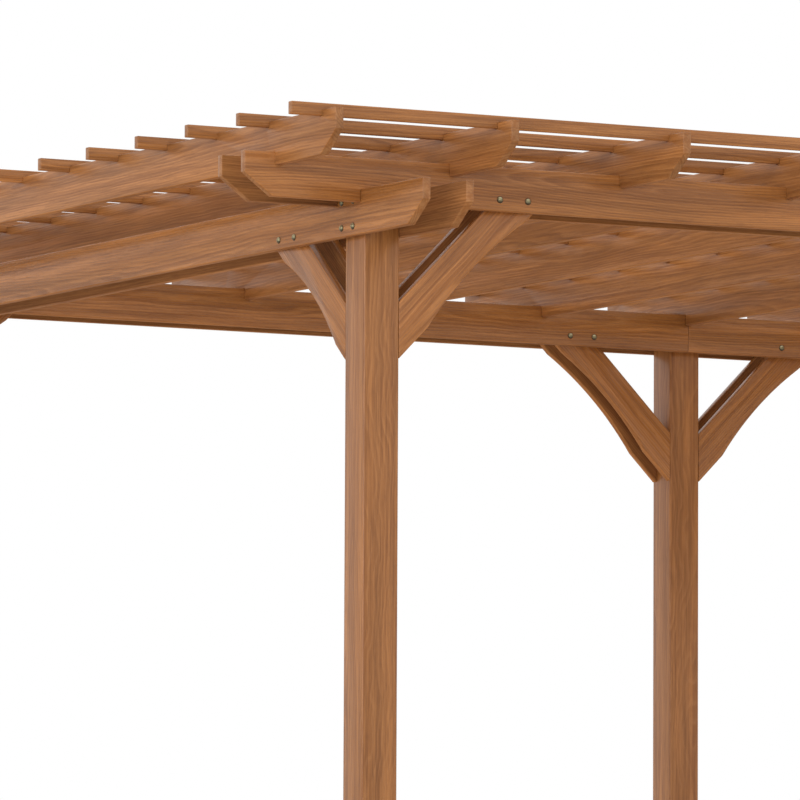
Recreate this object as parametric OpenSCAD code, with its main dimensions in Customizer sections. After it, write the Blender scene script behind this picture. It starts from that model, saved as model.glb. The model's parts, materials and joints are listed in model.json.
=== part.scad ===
// Free-standing timber pergola: six posts in two rows, twin beams, notched rafters and roof slats.
// X runs along the long beams, Y along the rafters, and Z is up from the feet of the posts.

/* [Posts] */
// Side of a square post
post_w = 95; // [80:1:120]
// Eased edge down each corner of a post
post_ease = 3; // [1:0.5:8]
// Distance between neighbouring posts of a row
bay_length = 2530; // [2200:10:2900]
// Distance between the two rows of posts
row_spacing = 2835; // [2400:5:3300]
// Height from the ground to the underside of the long beams
headroom = 2204; // [2000:1:2400]

/* [Boards] */
// Thickness of beams, rafters and braces
board_t = 21; // [16:1:28]
// Width of the boards that make beams and rafters
board_h = 105; // [95:1:125]
// How far the boards of two layers sink into each other where they cross
lap_depth = 30; // [15:1:40]
// Room left on each side of a board in its notch
notch_clearance = 0.5; // [0.2:0.1:2]
// Length of the slanted cut at the end of a beam or rafter
end_cut_length = 75; // [40:1:120]
// Height of the slanted cut at the end of a beam or rafter
end_cut_height = 54; // [30:1:80]

/* [Beams] */
// How far the long beams and the slats reach past the end posts
beam_overhang = 380; // [350:5:500]
// How far the end beams and the rafters reach past the rows of posts
rafter_overhang = 370; // [345:5:500]
// Open joint where two lengths of long beam meet on the middle post
splice_gap = 0.5; // [0.5:0.5:6]

/* [Rafters] */
// Distance from the line of the end posts out to the outermost rafter
end_rafter_offset = 290; // [150:5:330]

/* [Slats] */
// Thickness of a roof slat
slat_t = 18; // [14:1:30]
// Height of a roof slat
slat_h = 30; // [25:1:45]
// How deep a slat sits in the notches of the rafters
slat_lap = 14; // [8:1:22]
// Distance from the ends of the rafters in to the middle of the outermost slat
slat_setback = 77.5; // [50:0.5:120]

/* [Braces] */
// Distance from the underside of a long beam down to the foot of every brace
brace_drop = 365; // [320:5:440]
// Height of the cut that butts against the post
brace_heel = 135; // [110:1:160]
// How far a brace runs up between the two boards of its beam
brace_tail = 60; // [40:1:70]
// Reach of the braces that stand under the long beams
brace_reach_long = 365; // [320:5:440]
// Straight stretch between the foot and the arch under a long beam
arch_start_long = 112; // [60:1:140]
// Length of the arch cut out of the lower edge under a long beam
arch_length_long = 380; // [240:5:400]
// Depth of the arch under a long beam
arch_depth_long = 18.5; // [8:0.5:30]
// Reach of the braces that stand under the end beams
brace_reach_end = 345; // [280:5:400]
// Straight stretch between the foot and the arch under an end beam
arch_start_end = 62; // [40:1:100]
// Length of the arch cut out of the lower edge under an end beam
arch_length_end = 340; // [200:5:360]
// Depth of the arch under an end beam
arch_depth_end = 22.5; // [8:0.5:30]

/* [Hidden] */
beam_timber = "#9a6a45";
post_timber = "#a5754e";
rafter_timber = "#a3714a";
slat_timber = "#8d5f3d";
brace_timber = "#a06e48";

post_rows = [-row_spacing / 2, row_spacing / 2];
post_lines = [-bay_length, 0, bay_length];
end_beam_z = headroom - board_h + lap_depth;
rafter_z = headroom + board_h - lap_depth;
slat_z = rafter_z + board_h - slat_lap;
post_h = rafter_z;
beam_reach = bay_length + beam_overhang;
rafter_reach = row_spacing / 2 + rafter_overhang;
board_offset = (post_w + board_t) / 2;
notch_w = board_t + 2 * notch_clearance;
brace_foot_z = headroom - brace_drop;
brace_offset = (post_w - board_t) / 2;
arch_steps = 24;
rafter_count = 13;
slat_count = 14;
rafter_pitch = 2 * (bay_length + end_rafter_offset) / (rafter_count - 1);
slat_pitch = 2 * (rafter_reach - slat_setback) / (slat_count - 1);

rafter_names = [for (i = [1 : rafter_count]) str("rafter_", i)];
slat_names = [for (i = [1 : slat_count / 2]) str("slat_pair_", i)];
side_names = ["left", "middle", "right"];
row_names = ["front", "back"];
post_names = [for (r = row_names) for (s = side_names) str("post_", r, "_", s)];
end_beam_names = ["end_beam_left", "end_beam_right"];
long_beam_names = [for (r = row_names) for (s = ["left", "right"]) str("long_beam_", r, "_", s)];
end_brace_names = [for (r = row_names) for (s = ["left", "right"]) str("end_brace_", r, "_", s)];
brace_places = ["left", "middle_left", "middle_right", "right"];
long_brace_names = [for (r = row_names) for (p = brace_places) str("long_brace_", r, "_", p)];

function rafter_x(i) = (i - (rafter_count + 1) / 2) * rafter_pitch;
function slat_y(i) = (i - (slat_count + 1) / 2) * slat_pitch;

// Lower outline of a board from one trimmed end to the other, with a slanted cut at chosen ends
function trimmed_outline(from, to, height, cut_from, cut_to) = concat(
    cut_from ? [[from, end_cut_height], [from + end_cut_length, 0]] : [[from, 0]],
    cut_to ? [[to - end_cut_length, 0], [to, end_cut_height]] : [[to, 0]],
    [[to, height], [from, height]]);

// Share of the arch's full depth at a share of its length
function arch_rise(share) = 1 - pow(2 * share - 1, 2);

// Square post with eased edges, standing on the ground
module post(row, line) {
    flat = post_w / 2 - post_ease;
    color(post_timber)
        translate([post_lines[line], post_rows[row], 0])
            linear_extrude(post_h)
                polygon([
                    [-flat, -post_w / 2], [flat, -post_w / 2],
                    [post_w / 2, -flat], [post_w / 2, flat],
                    [flat, post_w / 2], [-flat, post_w / 2],
                    [-post_w / 2, flat], [-post_w / 2, -flat]]);
}

// Board standing on edge in the YZ plane, drawn as a side outline
module board_along_y(x, z) {
    translate([x - board_t / 2, 0, z])
        rotate([90, 0, 90])
            linear_extrude(board_t)
                children();
}

// Board standing on edge in the XZ plane, drawn as a side outline
module board_along_x(y, z) {
    translate([0, y + board_t / 2, z])
        rotate([90, 0, 0])
            linear_extrude(board_t)
                children();
}

// Two boards that clasp the end posts across the width of the pergola
module end_beam(line) {
    color(beam_timber)
        for (side = [-1, 1])
            board_along_y(post_lines[line] + side * board_offset, end_beam_z)
                polygon(trimmed_outline(-rafter_reach, rafter_reach, board_h, true, true));
}

// Two boards that clasp a row of posts from one end to the middle post
module long_beam(row, side) {
    color(beam_timber)
        for (face = [-1, 1])
            board_along_x(post_rows[row] + face * board_offset, headroom)
                difference() {
                    if (side < 0)
                        polygon(trimmed_outline(-beam_reach, -splice_gap / 2, board_h, true, false));
                    else
                        polygon(trimmed_outline(splice_gap / 2, beam_reach, board_h, false, true));
                    for (edge = [-1, 1])
                        translate([side * bay_length + edge * board_offset - notch_w / 2, 0])
                            square([notch_w, lap_depth]);
                }
}

// Rafter with seats over the long beams below and for the slats above
module rafter(i) {
    slat_notch_w = slat_t + 2 * notch_clearance;
    color(rafter_timber)
        board_along_y(rafter_x(i), rafter_z)
            difference() {
                polygon(trimmed_outline(-rafter_reach, rafter_reach, board_h, true, true));
                for (row = post_rows)
                    for (face = [-1, 1])
                        translate([row + face * board_offset - notch_w / 2, 0])
                            square([notch_w, lap_depth]);
                for (s = [1 : slat_count])
                    translate([slat_y(s) - slat_notch_w / 2, board_h - slat_lap])
                        square([slat_notch_w, slat_lap]);
            }
}

// Two neighbouring roof slats lying in the notches of all rafters
module slat_pair(pair) {
    color(slat_timber)
        for (s = [2 * pair - 1, 2 * pair])
            translate([-beam_reach, slat_y(s) - slat_t / 2, slat_z])
                cube([2 * beam_reach, slat_t, slat_h]);
}

// Side outline of a brace, with the post's face at zero and rising away from it
module brace_outline(reach, beam_z, arch_start, arch_length, arch_depth) {
    drop = beam_z - brace_foot_z;
    slope = drop / reach;
    angle = atan(slope);
    top = drop + brace_tail;
    lower_edge = [for (k = [0 : arch_steps])
        let (along = arch_start + arch_length * k / arch_steps, inset = arch_depth * arch_rise(k / arch_steps))
        [along * cos(angle) - inset * sin(angle), along * sin(angle) + inset * cos(angle)]];
    translate([0, brace_foot_z])
        polygon(concat(
            [[0, 0]],
            lower_edge,
            [[top / slope, top], [(top - brace_heel) / slope, top], [0, brace_heel]]));
}

// Two boards side by side that prop a long beam from a post
module long_brace(row, line, away) {
    color(brace_timber)
        for (face = [-1, 1])
            translate([post_lines[line] + away * post_w / 2, 0, 0])
                mirror([away < 0 ? 1 : 0, 0, 0])
                    board_along_x(post_rows[row] + face * brace_offset, 0)
                        brace_outline(brace_reach_long, headroom,
                            arch_start_long, arch_length_long, arch_depth_long);
}

// Two boards side by side that prop an end beam from a corner post
module end_brace(row, line) {
    inward = row == 0 ? 1 : -1;
    color(brace_timber)
        for (face = [-1, 1])
            translate([0, post_rows[row] + inward * post_w / 2, 0])
                mirror([0, inward < 0 ? 1 : 0, 0])
                    board_along_y(post_lines[line] + face * brace_offset, 0)
                        brace_outline(brace_reach_end, end_beam_z,
                            arch_start_end, arch_length_end, arch_depth_end);
}

for (row = [0, 1])
    for (line = [0 : 2])
        post(row, line);
for (side = [0, 1])
    end_beam(side * 2);
for (row = [0, 1])
    for (side = [0, 1])
        long_beam(row, side * 2 - 1);
for (i = [1 : rafter_count])
    rafter(i);
for (i = [1 : slat_count / 2])
    slat_pair(i);
for (row = [0, 1])
    for (side = [0, 1])
        end_brace(row, side * 2);
for (row = [0, 1])
    for (place = [0 : 3])
        long_brace(row, floor((place + 1) / 2), place % 2 == 0 ? 1 : -1);
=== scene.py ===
import json
import math
import random

import bpy
from mathutils import Matrix, Vector


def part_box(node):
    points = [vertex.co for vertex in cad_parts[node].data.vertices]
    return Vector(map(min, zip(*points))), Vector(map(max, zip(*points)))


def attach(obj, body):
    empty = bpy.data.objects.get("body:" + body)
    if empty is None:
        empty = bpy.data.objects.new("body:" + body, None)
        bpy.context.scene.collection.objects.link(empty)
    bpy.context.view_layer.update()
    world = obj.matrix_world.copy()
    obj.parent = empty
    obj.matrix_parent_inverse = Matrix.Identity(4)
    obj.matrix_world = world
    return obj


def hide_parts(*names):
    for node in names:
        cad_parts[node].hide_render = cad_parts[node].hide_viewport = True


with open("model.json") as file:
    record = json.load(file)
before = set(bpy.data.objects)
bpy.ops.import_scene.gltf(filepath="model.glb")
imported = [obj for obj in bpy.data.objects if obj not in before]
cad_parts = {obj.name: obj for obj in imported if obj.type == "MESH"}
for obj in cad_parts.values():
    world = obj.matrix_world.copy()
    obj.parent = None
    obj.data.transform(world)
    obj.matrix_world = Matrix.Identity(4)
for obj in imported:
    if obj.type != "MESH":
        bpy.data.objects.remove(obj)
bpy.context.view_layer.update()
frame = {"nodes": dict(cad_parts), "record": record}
scene = bpy.context.scene
print("stage: frame loaded,", len(frame["nodes"]), "nodes")


def only(obj):
    bpy.ops.object.select_all(action="DESELECT")
    obj.select_set(True)
    bpy.context.view_layer.objects.active = obj


def colour(r, g, b):
    return (r, g, b, 1.0)


# Small helpers for building shader trees.
class Tree:
    def __init__(self, name):
        self.material = bpy.data.materials.new(name)
        self.material.use_nodes = True
        self.nodes = self.material.node_tree.nodes
        self.links = self.material.node_tree.links
        self.nodes.clear()
        self.shader = self.nodes.new("ShaderNodeBsdfPrincipled")
        output = self.nodes.new("ShaderNodeOutputMaterial")
        self.links.new(self.shader.outputs["BSDF"], output.inputs["Surface"])

    def put(self, socket, value):
        if isinstance(value, bpy.types.NodeSocket):
            self.links.new(value, socket)
        else:
            socket.default_value = value

    def math(self, operation, a, b=0.0, clamp=False):
        node = self.nodes.new("ShaderNodeMath")
        node.operation = operation
        node.use_clamp = clamp
        self.put(node.inputs[0], a)
        self.put(node.inputs[1], b)
        return node.outputs[0]

    def times(self, a, b):
        return self.math("MULTIPLY", a, b)

    def plus(self, a, b, clamp=False):
        return self.math("ADD", a, b, clamp)

    def attribute(self, name, output):
        node = self.nodes.new("ShaderNodeAttribute")
        node.attribute_name = name
        return node.outputs[output]

    def vector(self, x, y, z):
        node = self.nodes.new("ShaderNodeCombineXYZ")
        for socket, value in zip(node.inputs, (x, y, z)):
            self.put(socket, value)
        return node.outputs[0]

    def noise(self, where, detail=2.0, roughness=0.5, scale=1.0):
        node = self.nodes.new("ShaderNodeTexNoise")
        self.put(node.inputs["Vector"], where)
        self.put(node.inputs["Scale"], scale)
        self.put(node.inputs["Detail"], detail)
        self.put(node.inputs["Roughness"], roughness)
        return node.outputs[0]

    def swing(self, noise):  # noise as a move to both sides of nothing
        return self.math("SUBTRACT", noise, 0.5)

    def spread(self, value, low, high, toLow=0.0, toHigh=1.0):  # a soft step
        node = self.nodes.new("ShaderNodeMapRange")
        node.interpolation_type = "SMOOTHSTEP"
        self.put(node.inputs["Value"], value)
        for key, number in (("From Min", low), ("From Max", high), ("To Min", toLow), ("To Max", toHigh)):
            self.put(node.inputs[key], number)
        return node.outputs["Result"]

    def mix(self, factor, a, b, blend="MIX"):
        node = self.nodes.new("ShaderNodeMix")
        node.data_type = "RGBA"
        node.blend_type = blend
        self.put(node.inputs["Factor"], factor)
        self.put(node.inputs["A"], a)
        self.put(node.inputs["B"], b)
        return node.outputs["Result"]

    def bump(self, height, strength, distance):
        node = self.nodes.new("ShaderNodeBump")
        self.put(node.inputs["Strength"], strength)
        self.put(node.inputs["Distance"], distance)
        self.put(node.inputs["Height"], height)
        return node.outputs["Normal"]


# What all timber shares. Pairs and fours are the limits of a soft step.
grainShape = {
    "coarse": 1.0, "fine": 3.0, "streakNoise": 0.6, "fibreNoise": 0.62,  # detail and roughness of the noise
    "driftRows": (3.7, 11.3),  # where in the noise the pith's drift in depth and across is read
    "weightPace": 0.45, "weightSpread": (0.35, 0.65, 0.05, 1.0),
    "lateRise": (0.3, 0.82), "lateFall": (1.0, 0.9), "earlyRise": (0.0, 0.1), "earlyFall": (0.4, 0.12),
    "streakSpread": (0.34, 0.66), "fibreSpread": (0.44, 0.7), "poreSpread": (0.6, 0.7),
    "endStreak": (0.36, 0.64), "endFibre": (0.5, 0.8), "endRingDark": 0.4, "endFibreDark": 0.35,
    "edgeHighlightSpread": (0.3, 0.6, 0.3, 0.7), "patchSpread": (0.25, 0.75),
    "fibreRough": 0.25, "endRough": 0.08, "mattRough": 0.9, "ior": 1.45,
    "fibreHeight": 0.6, "ringHeight": 0.35, "poreDepth": 0.5, "bumpDistance": 0.0005,
}


# Stained timber. Each board carries its own grain frame and tone. Its faces are marked as cut end, eased edge
# (paler, a painted highlight), underside (painted light) or inner face of a pair (painted shade).
def timberMaterial(name, spec):
    t = Tree(name)
    split = t.nodes.new("ShaderNodeSeparateXYZ")
    t.put(split.inputs[0], t.attribute("grain", "Vector"))
    along, across, depth = split.outputs
    tone, cutEnd, edgeHighlight, under, inner = [t.attribute(mark, "Fac")
                                        for mark in ("tone", "cutEnd", "edgeHighlight", "under", "inner")]

    def drawnOut(perLength, perWidth):  # a noise place stretched along the grain
        return t.vector(t.times(along, perLength), t.times(across, perWidth), t.times(depth, perWidth))

    def drift(row):  # the pith drifts sideways along the board
        place = t.vector(t.times(along, spec["pithPace"]), row, tone)
        return t.times(t.swing(t.noise(place, grainShape["coarse"])), spec["pithWander"])

    # growth rings round the pith, with a curl laid over them
    depthRow, acrossRow = grainShape["driftRows"]
    ringDepth = t.plus(depth, drift(depthRow))
    ringAcross = t.plus(across, drift(acrossRow))
    radius = t.math("SQRT", t.plus(t.times(ringDepth, ringDepth), t.times(ringAcross, ringAcross)))
    sway = t.times(t.noise(drawnOut(*spec["swayScale"])), spec["sway"])
    curl = t.times(t.noise(drawnOut(*spec["curlScale"])), spec["curl"])
    phase = t.plus(t.math("DIVIDE", radius, spec["ringWidth"]), t.plus(sway, curl))
    ring = t.math("FRACT", phase)
    weightPlace = t.vector(t.times(phase, grainShape["weightPace"]), tone, 0.0)
    ringWeight = t.spread(t.noise(weightPlace, grainShape["coarse"]), *grainShape["weightSpread"])
    lateWood = t.times(t.spread(ring, *grainShape["lateRise"]), t.spread(ring, *grainShape["lateFall"]))
    lateWood = t.times(lateWood, ringWeight)
    earlyWood = t.times(t.spread(ring, *grainShape["earlyRise"]), t.spread(ring, *grainShape["earlyFall"]))

    streak = t.noise(drawnOut(*spec["streakScale"]), grainShape["fine"], grainShape["streakNoise"])
    fibre = t.noise(drawnOut(*spec["fibreScale"]), grainShape["fine"], grainShape["fibreNoise"])
    pore = t.spread(t.noise(drawnOut(*spec["poreScale"]), grainShape["coarse"]), *grainShape["poreSpread"])
    patch = t.noise(drawnOut(*spec["patchScale"]))

    body = t.mix(t.spread(streak, *grainShape["streakSpread"]), spec["light"], spec["mid"])
    body = t.mix(t.times(earlyWood, spec["ringPale"]), body, spec["pale"])
    body = t.mix(t.times(lateWood, spec["ringDark"]), body, spec["dark"])
    body = t.mix(t.times(t.spread(fibre, *grainShape["fibreSpread"]), spec["fibreDark"]), body, spec["dark"])
    body = t.mix(t.times(pore, spec["poreDark"]), body, spec["deep"])
    endWood = t.mix(t.spread(streak, *grainShape["endStreak"]), spec["end"], spec["mid"])
    endWood = t.mix(t.times(lateWood, grainShape["endRingDark"]), endWood, spec["dark"])
    endFibre = t.times(t.spread(fibre, *grainShape["endFibre"]), grainShape["endFibreDark"])
    endWood = t.mix(endFibre, endWood, spec["dark"])
    body = t.mix(cutEnd, body, endWood)
    # eased edges are paler: a painted highlight
    body = t.mix(t.times(edgeHighlight, t.spread(streak, *grainShape["edgeHighlightSpread"])), body, spec["pale"])

    # brightness of the board and its broad bands, with painted light on its underside (a lift that stands in
    # for light thrown up from the floor) and painted shade on its inner face
    toneAndPaintedLight = t.times(t.spread(tone, 0.0, 1.0, *spec["toneLevel"]),
                    t.spread(patch, *grainShape["patchSpread"], *spec["patchLevel"]))
    # undersides that are not end grain get painted light
    paintedLightMask = t.times(under, t.math("SUBTRACT", 1.0, cutEnd))
    toneAndPaintedLight = t.times(toneAndPaintedLight, t.spread(paintedLightMask, 0.0, 1.0, 1.0, spec["underPaintedLight"]))
    # the inner faces of a pair are darkened: painted shade between the boards
    toneAndPaintedLight = t.times(toneAndPaintedLight, t.spread(inner, 0.0, 1.0, 1.0, spec["innerPaintedShade"]))
    shade = t.nodes.new("ShaderNodeCombineColor")
    for socket in shade.inputs:
        t.put(socket, toneAndPaintedLight)
    t.put(t.shader.inputs["Base Color"], t.mix(1.0, body, shade.outputs[0], "MULTIPLY"))

    # undersides and inner faces are matt, so that they show no pale floor
    rough = t.plus(spec["roughness"], t.times(t.swing(fibre), grainShape["fibreRough"]))
    rough = t.plus(rough, t.times(cutEnd, grainShape["endRough"]))
    rough = t.plus(rough, t.times(t.math("MAXIMUM", under, inner), grainShape["mattRough"]), True)
    t.put(t.shader.inputs["Roughness"], rough)
    t.put(t.shader.inputs["IOR"], grainShape["ior"])
    height = t.plus(t.times(fibre, grainShape["fibreHeight"]), t.times(lateWood, grainShape["ringHeight"]))
    height = t.math("SUBTRACT", height, t.times(pore, grainShape["poreDepth"]))
    t.put(t.shader.inputs["Normal"], t.bump(height, spec["bump"], grainShape["bumpDistance"]))
    return t.material


# Scales are (per metre along the grain, per metre across it). Levels are (lowest, highest).
baseTimber = {
    "pale": colour(0.490, 0.215, 0.075), "light": colour(0.430, 0.170, 0.046),
    "mid": colour(0.300, 0.109, 0.026), "dark": colour(0.150, 0.047, 0.010),
    "deep": colour(0.075, 0.024, 0.006), "end": colour(0.37, 0.158, 0.052),
    "ringWidth": 0.0062, "ringDark": 0.37, "ringPale": 0.28, "fibreDark": 0.45, "poreDark": 0.25,
    "pithWander": 0.09, "pithPace": 0.5,
    "sway": 7.0, "swayScale": (0.9, 5.0), "curl": 2.4, "curlScale": (4.0, 18.0),
    "streakScale": (1.8, 70.0), "fibreScale": (9.0, 300.0), "poreScale": (42.0, 950.0),
    "patchScale": (1.3, 26.0), "patchLevel": (0.83, 1.13), "toneLevel": (0.94, 1.06),
    # The under level lifts undersides as painted light; the inner level darkens the facing inner faces of a
    # pair as painted shade.
    "underPaintedLight": 1.12, "innerPaintedShade": 0.82, "roughness": 0.27, "bump": 0.25,
}
timberKinds = {
    "post_timber": {
        **baseTimber, "ringWidth": 0.0078, "ringDark": 0.27, "fibreDark": 0.4,
        "sway": 9.0, "swayScale": (1.5, 5.0), "curl": 3.4, "curlScale": (6.0, 18.0),
        "toneLevel": (0.9, 0.98), "patchLevel": (0.88, 1.1), "roughness": 0.34,
    },
    "beam_timber": baseTimber,
    "rafter_timber": {**baseTimber, "toneLevel": (0.91, 1.02), "roughness": 0.38},
    "slat_timber": baseTimber,
    "brace_timber": {**baseTimber, "ringDark": 0.3, "toneLevel": (0.99, 1.1), "patchLevel": (0.9, 1.07)},
}
timberLook = {slot: timberMaterial(slot, spec) for slot, spec in timberKinds.items()}
print("stage: timber materials made")


axisX, axisY, axisZ = Vector((1, 0, 0)), Vector((0, 1, 0)), Vector((0, 0, 1))
braceRise = {"long": math.radians(45.0), "end": math.radians(40.0)}  # slope of the grain in the braces


def braceSign(node):  # which way along X or Y the brace rises
    if node.startswith("end_brace"):
        return 1 if "_front_" in node else -1
    place = node.split("_", 3)[3]
    return 1 if place in ("left", "middle_right") else -1


def grainFrame(node):  # length, width and thickness directions of a board
    if node.startswith("post_"):
        return axisZ, axisX, axisY
    if node.startswith(("end_beam", "rafter")):
        return axisY, axisZ, axisX
    if node.startswith(("long_beam", "slat")):
        return axisX, axisZ, axisY
    isLong = node.startswith("long_brace")
    rise = braceRise["long" if isLong else "end"]
    run, thick = (axisX, axisY) if isLong else (axisY, axisX)
    length = (run * (braceSign(node) * math.cos(rise)) + axisZ * math.sin(rise)).normalized()
    return length, length.cross(thick), thick


# Bevels in metres, and how far a face's normal has to lean to make it an underside, inner face or cut end.
timberCut = {"post": 0.0012, "board": 0.0018, "segments": 2, "splice": 0.002, "weld": 1e-5,
             "flat": math.radians(0.1), "sharp": math.radians(30), "smooth": math.radians(40),
             "downward": -0.25, "inward": 0.9, "endGrain": 0.5}
# Where a board was sawn from its log: how far along, and how far from the pith.
grainDraw = {"along": (0, 40), "across": (0.02, 0.1), "depthPost": (0.05, 0.1), "depthBoard": (0.01, 0.06)}


def islands(mesh):  # for each vertex, the first vertex of its board
    parent = list(range(len(mesh.vertices)))

    def root(i):
        while parent[i] != i:
            parent[i] = parent[parent[i]]
            i = parent[i]
        return i

    for edge in mesh.edges:
        a, b = root(edge.vertices[0]), root(edge.vertices[1])
        if a != b:
            parent[max(a, b)] = min(a, b)
    return [root(i) for i in range(len(parent))]


def bevelledCopy(node):
    piece = bpy.data.objects.new("timber_" + node, frame["nodes"][node].data.copy())
    scene.collection.objects.link(piece)
    only(piece)
    bpy.ops.object.mode_set(mode="EDIT")
    bpy.ops.mesh.select_all(action="SELECT")
    bpy.ops.mesh.remove_doubles(threshold=timberCut["weld"])
    bpy.ops.mesh.dissolve_limited(angle_limit=timberCut["flat"])
    bpy.ops.mesh.select_all(action="DESELECT")
    bpy.ops.mesh.select_mode(type="EDGE")
    bpy.ops.mesh.edges_select_sharp(sharpness=timberCut["sharp"])
    if node.startswith("long_beam"):  # the butted ends at the splice stay square
        bpy.ops.object.mode_set(mode="OBJECT")
        for edge in piece.data.edges:
            if all(abs(piece.data.vertices[v].co.x) < timberCut["splice"] for v in edge.vertices):
                edge.select = False
        bpy.ops.object.mode_set(mode="EDIT")
    ease = timberCut["post" if node.startswith("post_") else "board"]
    bpy.ops.mesh.bevel(offset=ease, segments=timberCut["segments"], affect="EDGES",
                       clamp_overlap=True, material=1)  # index 1 marks the eased edges, which get a painted highlight, until they are read
    bpy.ops.mesh.select_all(action="SELECT")
    bpy.ops.mesh.normals_make_consistent(inside=False)
    bpy.ops.object.mode_set(mode="OBJECT")
    return piece


def drawBoards(node, mesh, group):
    pithDepth = grainDraw["depthPost" if node.startswith("post_") else "depthBoard"]
    draws = {}
    for index, board in enumerate(sorted(set(group))):
        chance = random.Random(f"{node}-{index}")
        corners = [v.co for v, g in zip(mesh.vertices, group) if g == board]
        low = Vector([min(c[k] for c in corners) for k in range(3)])
        high = Vector([max(c[k] for c in corners) for k in range(3)])
        draws[board] = {
            "centre": (low + high) / 2,
            "shift": Vector((chance.uniform(*grainDraw["along"]),
                             chance.choice((-1, 1)) * chance.uniform(*grainDraw["across"]),
                             chance.choice((-1, 1)) * chance.uniform(*pithDepth))),
            "tone": chance.random(),
        }
    return draws


def markGrain(node, mesh):
    length, width, thick = grainFrame(node)
    group = islands(mesh)
    draws = drawBoards(node, mesh, group)
    pairCentre = sum((draw["centre"] for draw in draws.values()), Vector()) / len(draws)
    isPair = len(draws) > 1 and not node.startswith("slat")

    def facesTwin(face):  # the faces of a pair that look at each other
        turned = face.normal.dot(thick)
        toTwin = (pairCentre - face.center).dot(thick)
        return isPair and abs(turned) >= timberCut["inward"] and turned * toTwin > 0

    grain = mesh.attributes.new("grain", "FLOAT_VECTOR", "POINT")
    for vertex, board in zip(mesh.vertices, group):
        place = vertex.co - draws[board]["centre"]
        grain.data[vertex.index].vector = draws[board]["shift"] + Vector(
            (place.dot(length), place.dot(width), place.dot(thick)))
    marks = {
        "tone": [draws[group[face.vertices[0]]]["tone"] for face in mesh.polygons],
        "cutEnd": [float(abs(face.normal.dot(length)) > timberCut["endGrain"]) for face in mesh.polygons],
        # eased edges, for their painted highlight
        "edgeHighlight": [float(face.material_index) for face in mesh.polygons],
        "under": [float(face.normal.z < timberCut["downward"]) for face in mesh.polygons],
        "inner": [float(facesTwin(face)) for face in mesh.polygons],
    }
    for mark, values in marks.items():
        mesh.attributes.new(mark, "FLOAT", "FACE").data.foreach_set("value", values)


def timberPiece(node, slot):
    piece = bevelledCopy(node)
    mesh = piece.data
    markGrain(node, mesh)
    mesh.polygons.foreach_set("material_index", [0] * len(mesh.polygons))
    mesh.materials.clear()
    mesh.materials.append(timberLook[slot])
    bpy.ops.object.shade_smooth_by_angle(angle=timberCut["smooth"])
    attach(piece, "root")
    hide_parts(node)


slotOf = {part["node"]: part["material_slot"] for part in frame["record"]["subparts"]}
for nodeName in frame["nodes"]:
    timberPiece(nodeName, slotOf[nodeName])
print("stage: timber pieces made,", len(slotOf))


# Domed bolt heads on the beams, each on a thin dark ring that is painted shade round the head. The dome is a
# row of (inset, rise) steps.
boltSpec = {"ring": 0.0084, "ringHeight": 0.0004, "radius": 0.0072, "segments": 24, "wall": 0.0012,
            "dome": ((0.0006, 0.0010), (0.0013, 0.0014), (0.0018, 0.0011), (0.0018, 0.0005)),
            "shadeRingSlack": 1.1, "smooth": math.radians(50)}
# Bolt colours: the foot is painted shade on the lower part of the head, and the top is a painted highlight on
# its upper part.
boltTint = {
    "foot": colour(0.10, 0.076, 0.042), "side": colour(0.37, 0.33, 0.185), "top": colour(0.58, 0.51, 0.30),
    # ring: the colour of the thin disc under the head, painted shade round the bolt
    "cloud": colour(0.26, 0.26, 0.18), "speck": colour(0.12, 0.10, 0.06), "ring": colour(0.07, 0.035, 0.014),
    "footShadeSpread": (-0.7, 0.2), "topSpread": (0.1, 0.8),
    "cloudScale": 240.0, "cloudDetail": 3.0, "cloudSpread": (0.4, 0.7), "cloudShare": 0.3,
    "speckScale": 1400.0, "speckSpread": (0.58, 0.75), "speckShare": 0.4,
    "metallic": 0.85, "roughSpread": (0.3, 0.7, 0.3, 0.45), "shadeRingRough": 0.5,
    "bump": 0.25, "bumpDistance": 0.0002,
}


def boltMaterial():
    t = Tree("bolt_metal")
    coord = t.nodes.new("ShaderNodeTexCoord").outputs["Object"]
    cloud = t.noise(coord, boltTint["cloudDetail"], scale=boltTint["cloudScale"])
    speck = t.noise(coord, scale=boltTint["speckScale"])
    height = t.attribute("height", "Fac")
    ring = t.attribute("ring", "Fac")
    # darker towards the foot and paler towards the top: painted shade and a painted highlight
    body = t.mix(t.spread(height, *boltTint["footShadeSpread"]), boltTint["foot"], boltTint["side"])
    body = t.mix(t.spread(height, *boltTint["topSpread"]), body, boltTint["top"])
    for noise, kind in ((cloud, "cloud"), (speck, "speck")):
        share = t.times(t.spread(noise, *boltTint[kind + "Spread"]), boltTint[kind + "Share"])
        body = t.mix(share, body, boltTint[kind])
    # the ring under the head is painted shade
    t.put(t.shader.inputs["Base Color"], t.mix(ring, body, boltTint["ring"]))
    t.put(t.shader.inputs["Metallic"], t.spread(ring, 0.0, 1.0, boltTint["metallic"], 0.0))
    rough = t.plus(t.spread(cloud, *boltTint["roughSpread"]), t.times(ring, boltTint["shadeRingRough"]), True)
    t.put(t.shader.inputs["Roughness"], rough)
    t.put(t.shader.inputs["Normal"], t.bump(speck, boltTint["bump"], boltTint["bumpDistance"]))
    return t.material


boltLook = boltMaterial()


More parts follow.
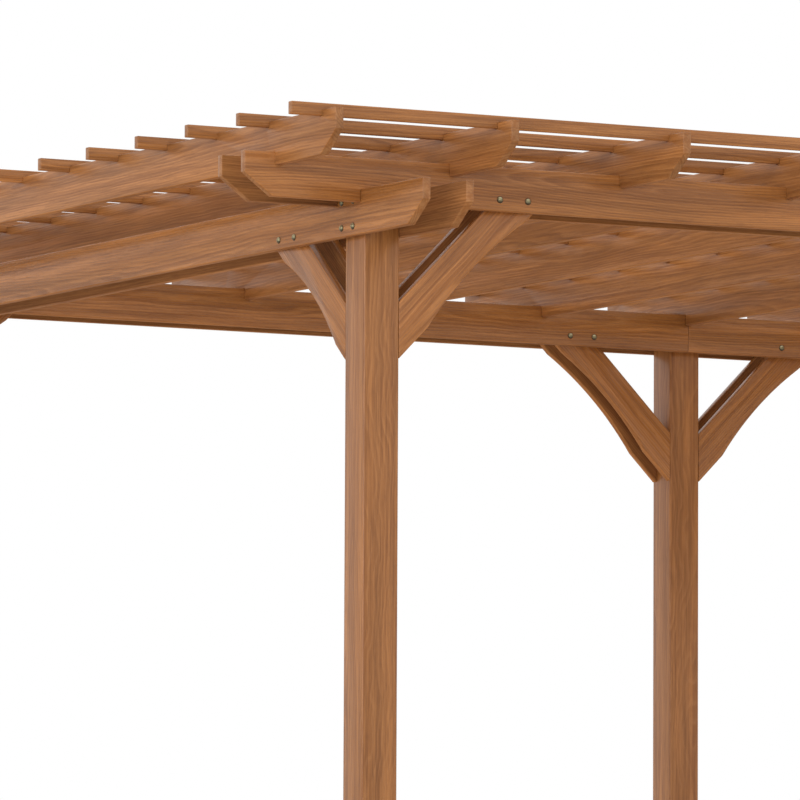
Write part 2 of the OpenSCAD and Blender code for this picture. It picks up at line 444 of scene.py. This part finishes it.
def boltHead():
    bpy.ops.object.select_all(action="DESELECT")
    bpy.ops.mesh.primitive_circle_add(vertices=boltSpec["segments"], radius=boltSpec["ring"],
                                      fill_type="NGON")
    head = bpy.context.active_object
    bpy.ops.object.mode_set(mode="EDIT")
    bpy.ops.mesh.select_all(action="SELECT")
    bpy.ops.mesh.extrude_region_move(TRANSFORM_OT_translate={"value": (0, 0, boltSpec["ringHeight"])})
    bpy.ops.mesh.inset(thickness=boltSpec["ring"] - boltSpec["radius"], depth=0.0)
    bpy.ops.mesh.extrude_region_move(TRANSFORM_OT_translate={"value": (0, 0, boltSpec["wall"])})
    for thickness, rise in boltSpec["dome"]:
        bpy.ops.mesh.inset(thickness=thickness, depth=0.0)
        bpy.ops.transform.translate(value=(0, 0, rise))
    bpy.ops.mesh.select_all(action="SELECT")
    bpy.ops.mesh.normals_make_consistent(inside=False)
    bpy.ops.object.mode_set(mode="OBJECT")
    bpy.ops.object.shade_smooth_by_angle(angle=boltSpec["smooth"])
    return head


def boltRow(name, places):
    head = boltHead()
    # faces of the thin ring under the head, which is painted shade
    shadeRingTop = boltSpec["ringHeight"] * boltSpec["shadeRingSlack"]
    shadeRingMark = [float(face.center.z < shadeRingTop) for face in head.data.polygons]
    copies = []
    for spot, out in places:
        copy = bpy.data.objects.new(name, head.data.copy())
        copy.data.transform(Matrix.Translation(spot) @ out.to_track_quat("Z", "Y").to_matrix().to_4x4())
        heights = [(vertex.co.z - spot.z) / boltSpec["radius"] for vertex in copy.data.vertices]
        copy.data.attributes.new("height", "FLOAT", "POINT").data.foreach_set("value", heights)
        copy.data.attributes.new("ring", "FLOAT", "FACE").data.foreach_set("value", shadeRingMark)
        scene.collection.objects.link(copy)
        copies.append(copy)
    bpy.data.objects.remove(head)
    bpy.ops.object.select_all(action="DESELECT")
    for copy in copies:
        copy.select_set(True)
    bpy.context.view_layer.objects.active = copies[0]
    bpy.ops.object.join()
    row = bpy.context.active_object
    row.name = name
    row.data.materials.clear()
    row.data.materials.append(boltLook)
    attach(row, "root")


# Distances from the middle of a post, and heights above the underside of the beam.
boltPlaces = {"longBrace": (0.309, 0.386), "longRise": 0.027, "endBrace": (0.2675, 0.3455), "endRise": 0.022,
              "postSpread": 0.028, "postRise": (0.021, 0.082)}
longBeams = {"front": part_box("long_beam_front_left"), "back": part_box("long_beam_back_left")}
endBeams = {"left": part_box("end_beam_left"), "right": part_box("end_beam_right")}
postBox = {name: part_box(name) for name in frame["nodes"] if name.startswith("post_")}


def postMiddle(rowName, sideName, axis):
    low, high = postBox[f"post_{rowName}_{sideName}"]
    return (low[axis] + high[axis]) / 2


def longBeamBolts(rowName):
    low, high = longBeams[rowName]
    z = low[2] + boltPlaces["longRise"]
    spots = []
    for sideName, signs in (("left", (1,)), ("middle", (-1, 1)), ("right", (-1,))):
        postX = postMiddle(rowName, sideName, 0)
        for x in [postX + sign * reach for sign in signs for reach in boltPlaces["longBrace"]]:
            spots += [(Vector((x, low[1], z)), -axisY), (Vector((x, high[1], z)), axisY)]
    boltRow(f"bolts_long_beam_{rowName}", spots)


def endBeamBolts(sideName):
    low, high = endBeams[sideName]
    spots = []
    for rowName, sign in (("front", 1), ("back", -1)):
        postY = postMiddle(rowName, sideName, 1)
        steps = [(sign * reach, boltPlaces["endRise"]) for reach in boltPlaces["endBrace"]]
        for shift in (-boltPlaces["postSpread"], boltPlaces["postSpread"]):
            steps += [(shift, rise) for rise in boltPlaces["postRise"]]
        for shift, rise in steps:
            y, z = postY + shift, low[2] + rise
            spots += [(Vector((low[0], y, z)), -axisX), (Vector((high[0], y, z)), axisX)]
    boltRow(f"bolts_end_beam_{sideName}", spots)


for beamName in longBeams:
    longBeamBolts(beamName)
for beamName in endBeams:
    endBeamBolts(beamName)
print("stage: bolts made")


# Pale floor. What light it throws back is set apart from the shade that the camera and glossy rays see.
floorSpec = {"size": 400.0, "bounce": colour(0.78, 0.77, 0.75), "roughness": 0.9, "gritScale": 3.0,
             "pale": (colour(0.80, 0.80, 0.79), colour(0.84, 0.84, 0.83))}


def makeFloor():
    bpy.ops.object.select_all(action="DESELECT")
    bpy.ops.mesh.primitive_plane_add(size=floorSpec["size"], location=(0, 0, 0))
    floor = bpy.context.active_object
    floor.name = "floor"
    t = Tree("floor_pale")
    grit = t.noise(t.nodes.new("ShaderNodeTexCoord").outputs["Object"], scale=floorSpec["gritScale"])
    ray = t.nodes.new("ShaderNodeLightPath")
    seen = t.math("MAXIMUM", ray.outputs["Is Camera Ray"], ray.outputs["Is Glossy Ray"])
    seen = t.math("MAXIMUM", seen, ray.outputs["Is Transmission Ray"])
    pale = t.mix(grit, *floorSpec["pale"])
    t.put(t.shader.inputs["Base Color"], t.mix(seen, floorSpec["bounce"], pale))
    t.put(t.shader.inputs["Roughness"], floorSpec["roughness"])
    floor.data.materials.append(t.material)


makeFloor()

# A soft dome, brighter round the horizon than overhead, and a broad low lamp from the left.
# The dome's numbers are the heights where the change starts and ends, and the strengths there.
studioLight = {"fill": colour(1.0, 0.985, 0.96), "dome": (0.05, 0.9, 1.26, 0.78), "surround": colour(1, 1, 1)}
lampSpec = {"at": (-12.0, -7.0, 4.2), "aim": (0, 0, 1.8), "size": 8.0, "power": 420.0,
            "tint": (0.92, 1.0, 1.15)}


def makeWorld():
    world = bpy.data.worlds.new("studio")
    scene.world = world
    world.use_nodes = True
    nodes, links = world.node_tree.nodes, world.node_tree.links
    nodes.clear()
    surround = nodes.new("ShaderNodeBackground")
    surround.inputs["Color"].default_value = studioLight["surround"]
    surround.inputs["Strength"].default_value = 1.0  # plain white behind the object
    fill = nodes.new("ShaderNodeBackground")
    fill.inputs["Color"].default_value = studioLight["fill"]
    direction = nodes.new("ShaderNodeSeparateXYZ")
    links.new(nodes.new("ShaderNodeTexCoord").outputs["Generated"], direction.inputs[0])
    dome = nodes.new("ShaderNodeMapRange")
    for key, number in zip(("From Min", "From Max", "To Min", "To Max"), studioLight["dome"]):
        dome.inputs[key].default_value = number
    links.new(direction.outputs["Z"], dome.inputs["Value"])
    links.new(dome.outputs["Result"], fill.inputs["Strength"])
    ray = nodes.new("ShaderNodeLightPath")
    seen = ray.outputs["Is Camera Ray"]
    for kind in ("Is Glossy Ray", "Is Transmission Ray"):
        either = nodes.new("ShaderNodeMath")
        either.operation = "MAXIMUM"
        links.new(seen, either.inputs[0])
        links.new(ray.outputs[kind], either.inputs[1])
        seen = either.outputs[0]
    chooser = nodes.new("ShaderNodeMixShader")
    for index, output in enumerate((seen, fill.outputs[0], surround.outputs[0])):
        links.new(output, chooser.inputs[index])
    links.new(chooser.outputs[0], nodes.new("ShaderNodeOutputWorld").inputs[0])


def makeLamp():
    lamp = bpy.data.lights.new("key", "AREA")
    lamp.shape = "SQUARE"
    lamp.size = lampSpec["size"]
    lamp.energy = lampSpec["power"]
    lamp.color = lampSpec["tint"]
    lampObject = bpy.data.objects.new("key", lamp)
    lampObject.location = lampSpec["at"]
    beam = Vector(lampSpec["aim"]) - Vector(lampSpec["at"])
    lampObject.rotation_euler = beam.to_track_quat("-Z", "Y").to_euler()
    scene.collection.objects.link(lampObject)


makeWorld()
makeLamp()
print("stage: floor and light made")

# Long lens from low in front on the left, rolled by a fraction of a degree. Angles are in radians.
viewSpec = {"at": (-11.62639, -18.08726, 0.06207), "yaw": 1.06774, "pitch": 0.08823, "roll": 0.00461,
            "lens": 361.565, "sensor": 36.0, "reach": 500.0}


def makeCamera():
    camera = bpy.data.cameras.new("camera")
    camera.sensor_width = viewSpec["sensor"]
    camera.lens = viewSpec["lens"]
    camera.clip_end = viewSpec["reach"]
    cameraObject = bpy.data.objects.new("camera", camera)
    cameraObject.location = viewSpec["at"]
    yaw, pitch = viewSpec["yaw"], viewSpec["pitch"]
    aim = Vector((math.cos(pitch) * math.cos(yaw), math.cos(pitch) * math.sin(yaw), math.sin(pitch)))
    turn = aim.to_track_quat("-Z", "Y").to_matrix() @ Matrix.Rotation(viewSpec["roll"], 3, "Z")
    cameraObject.rotation_euler = turn.to_euler()
    scene.collection.objects.link(cameraObject)
    scene.camera = cameraObject


makeCamera()
scene.view_settings.view_transform = "Standard"
